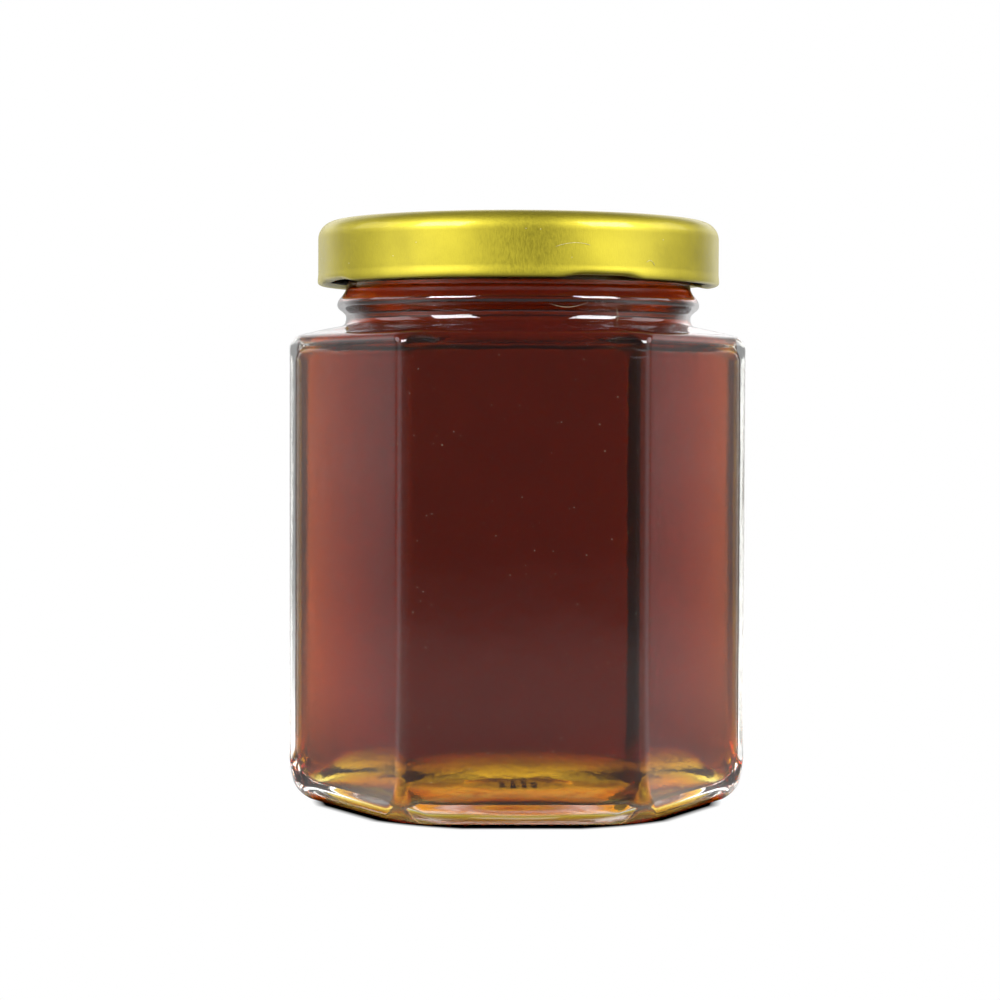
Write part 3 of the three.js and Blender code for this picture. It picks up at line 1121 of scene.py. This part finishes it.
# How bright the studio is from the front round to the back, by minus the cosine of the angle
STUDIO_STOPS = (
    (-1.0, 0.05),
    (-0.7, 0.3),
    (-0.4, 1.15),
    (-0.1, 0.9),
    (0.1, 0.42),
    (0.3, 0.26),
    (0.5, 0.34),
    (0.57, 0.55),
    (0.65, 1.05),
    (0.85, 1.7),
    (1.0, 0.66),
)
STUDIO_TURN = math.radians(2.5)

# How the studio changes with height, from 0 level with the table to 1 overhead: two heights, and the
# brightness below the first and above the second. A white card hangs high behind the jar. Its sides
# go by how far behind the jar a direction is, up to 1.
STUDIO_RISE = (0.1, 0.2, 1, 1.3)
STUDIO_FALL = (0.3, 0.45, 1, 0.12)
CARD_SIDES = (0.8, 0.93)
CARD_FOOT = (0.18, 0.34, 0, 1.6)
CARD_HEAD = (0.65, 0.8, 1, 0)

# Painted light: how much brighter the glowing floor is painted towards the jar, by the distance from the
# axis in metres
FLOOR_GLOW = ((0.0, 0.35), (0.06, 0.35), (0.12, 0.4), (0.2, 0.52), (0.31, 0.42), (0.5, 0.12), (0.8, 0.0))

# How much of that glow there is from the front round to the back
GLOW_SHARE = (-0.5, 0.5, 1, 0.4)

# Painted shadow of the jar on the floor close round it, by the distance from the middle across flats
SEEN_SHADE = (31 * MM, 32.8 * MM)
CAST_SHADE = (33 * MM, 38 * MM)
SHADE_ROUNDING = 0.96
FLOOR_RADIUS = 2000 * MM
FLOOR_SIDES = 96


def make_brightness_group():
    """Brightness of the studio in a direction: bright behind the jar, grey at its sides, dim in front."""
    outputs = ("Brightness", "Behind")
    group, given = new_shader_group("studio_brightness", ("Direction",), outputs)
    flat = add_vector_math(group, "MULTIPLY", given["Direction"], (1, 1, 0))
    unit = add_vector_math(group, "NORMALIZE", flat)
    back = (math.sin(-STUDIO_TURN), math.cos(STUDIO_TURN), 0)
    behind = add_vector_math(group, "DOT_PRODUCT", unit, back)
    ramp = add_node(group, "ShaderNodeValToRGB", {"Fac": add_range(group, behind, -1, 1)})
    brightest = max(grey for place, grey in STUDIO_STOPS)
    fill_ramp(ramp, [(0.5 + 0.5 * place, grey / brightest) for place, grey in STUDIO_STOPS])
    bright = add_product(group, ramp.outputs["Color"], brightest)
    add_node(group, "NodeGroupOutput", {"Brightness": bright, "Behind": behind})
    return group


def white_to_the_eye(tree, value):
    """The value, but 1 to rays that come straight from the camera."""
    eye = tree.nodes.new("ShaderNodeLightPath").outputs["Is Camera Ray"]
    return add_node(tree, "ShaderNodeMix", {"Factor": eye, "A": value, "B": 1.0}).outputs["Result"]


def make_world(backdrop, brightness):
    """The studio all round, brighter above the table's far edge and dim overhead, and the card."""
    world = bpy.data.worlds.new("studio")
    bpy.context.scene.world = world
    world.use_nodes = True
    tree = world.node_tree
    where = tree.nodes.new("ShaderNodeTexCoord").outputs["Generated"]
    studio = add_node(tree, "ShaderNodeGroup", {}, node_tree=brightness)
    fill_inputs(tree, studio, {"Direction": where})
    height = add_node(tree, "ShaderNodeSeparateXYZ", {0: where}).outputs["Z"]
    rise = add_range(tree, height, *STUDIO_RISE)
    fall = add_range(tree, height, *STUDIO_FALL)
    dimmed = add_product(tree, studio.outputs["Brightness"], rise, fall)
    sides = add_range(tree, studio.outputs["Behind"], *CARD_SIDES)
    foot = add_range(tree, height, *CARD_FOOT)
    card = add_product(tree, sides, foot, add_range(tree, height, *CARD_HEAD))
    seen = white_to_the_eye(tree, add_math(tree, "ADD", dimmed, card))
    fill_inputs(tree, tree.nodes["Background"], {"Color": seen, "Strength": backdrop})


def hexagon_distance(tree, where):
    """Distance from the axis, measured square to the nearest side of the jar, its corners rounded."""
    furthest = add_product(tree, add_vector_math(tree, "LENGTH", where), SHADE_ROUNDING)
    for side in range(SIDES // 2):
        angle = side * 2 * HALF_SIDE
        normal = (math.sin(angle), math.cos(angle), 0)
        across = add_math(tree, "ABSOLUTE", add_vector_math(tree, "DOT_PRODUCT", where, normal))
        furthest = add_math(tree, "MAXIMUM", furthest, across)
    return furthest


def make_floor_material(brightness):
    """A white table that glows with painted light like the studio round it, painted brighter near the jar
    and painted dark with shadow just under it.
    """
    material = bpy.data.materials.new("white_table")
    material.use_nodes = True
    tree = material.node_tree
    tree.nodes.remove(tree.nodes["Principled BSDF"])
    where = tree.nodes.new("ShaderNodeTexCoord").outputs["Object"]
    studio = add_node(tree, "ShaderNodeGroup", {}, node_tree=brightness)
    fill_inputs(tree, studio, {"Direction": where})
    distance = add_vector_math(tree, "LENGTH", where)
    furthest = FLOOR_GLOW[-1][0]
    # Painted pool of light on the floor near the jar
    glow = add_node(tree, "ShaderNodeValToRGB", {"Fac": add_range(tree, distance, 0, furthest)})
    fill_ramp(glow, [(place / furthest, grey) for place, grey in FLOOR_GLOW])
    near = add_product(tree, glow.outputs["Color"], add_range(tree, studio.outputs["Behind"], *GLOW_SHARE))
    lit = add_math(tree, "ADD", studio.outputs["Brightness"], near)
    across = hexagon_distance(tree, where)
    # Painted cast shadow of the jar in the light the floor gives off, then the painted contact shadow that
    # the camera sees
    shaded = add_product(tree, lit, add_range(tree, across, *CAST_SHADE))
    seen = add_product(tree, white_to_the_eye(tree, shaded), add_range(tree, across, *SEEN_SHADE))
    glowing = add_node(tree, "ShaderNodeEmission", {"Color": seen}).outputs["Emission"]
    fill_inputs(tree, tree.nodes["Material Output"], {"Surface": glowing})
    material.cycles.emission_sampling = "NONE"
    return material


def make_floor(brightness):
    angles = [2 * math.pi * i / FLOOR_SIDES for i in range(FLOOR_SIDES)]
    rim = [(FLOOR_RADIUS * math.cos(a), FLOOR_RADIUS * math.sin(a), 0) for a in angles]
    mesh = bpy.data.meshes.new("floor")
    mesh.from_pydata(rim, [], [tuple(range(FLOOR_SIDES))])
    mesh.materials.append(make_floor_material(brightness))
    add_to_scene("floor", mesh)


class HONEYJAR_OT_stage(bpy.types.Operator):
    """Sets up the camera, the lights and the pale floor"""

    bl_idname = "honey_jar.stage"
    bl_label = "Studio"

    def execute(self, context):
        studio = context.scene.honey_jar_studio
        make_camera()
        brightness = make_brightness_group()
        make_world(studio.backdrop, brightness)
        for name, (azimuth, spread, share) in SOFTBOXES.items():
            make_softbox(name, azimuth, spread, share * studio.softbox)
        make_floor(brightness)
        context.scene.view_settings.view_transform = "Standard"
        cycles = context.scene.cycles
        cycles.max_bounces = 32
        cycles.transmission_bounces = 32
        cycles.glossy_bounces = 12
        cycles.volume_bounces = 2
        return {"FINISHED"}


class HONEYJAR_PT_panel(bpy.types.Panel):
    """Lists the pieces of the honey jar and their settings"""

    bl_idname = "HONEYJAR_PT_panel"
    bl_label = "Honey Jar"
    bl_space_type = "VIEW_3D"
    bl_region_type = "UI"
    bl_category = "Honey Jar"

    def draw(self, context):
        for settings in SETTINGS:
            column = self.layout.box()
            group = getattr(context.scene, settings)
            for name in type(group).__annotations__:
                column.prop(group, name)
        for operator in OPERATORS:
            self.layout.operator(operator.bl_idname)


OPERATORS = (
    HONEYJAR_OT_glass,
    HONEYJAR_OT_honey,
    HONEYJAR_OT_lid,
    HONEYJAR_OT_marks,
    HONEYJAR_OT_bubbles,
    HONEYJAR_OT_dust,
    HONEYJAR_OT_stage,
)


def register():
    for settings, group in SETTINGS.items():
        bpy.utils.register_class(group)
        setattr(bpy.types.Scene, settings, PointerProperty(type=group))
    for operator in OPERATORS:
        bpy.utils.register_class(operator)
    bpy.utils.register_class(HONEYJAR_PT_panel)


def unregister():
    bpy.utils.unregister_class(HONEYJAR_PT_panel)
    for operator in reversed(OPERATORS):
        bpy.utils.unregister_class(operator)
    for settings, group in SETTINGS.items():
        delattr(bpy.types.Scene, settings)
        bpy.utils.unregister_class(group)


def main():
    register()
    for operator in OPERATORS:
        group, name = operator.bl_idname.split(".")
        getattr(getattr(bpy.ops, group), name)()


if __name__ == "__main__":
    main()
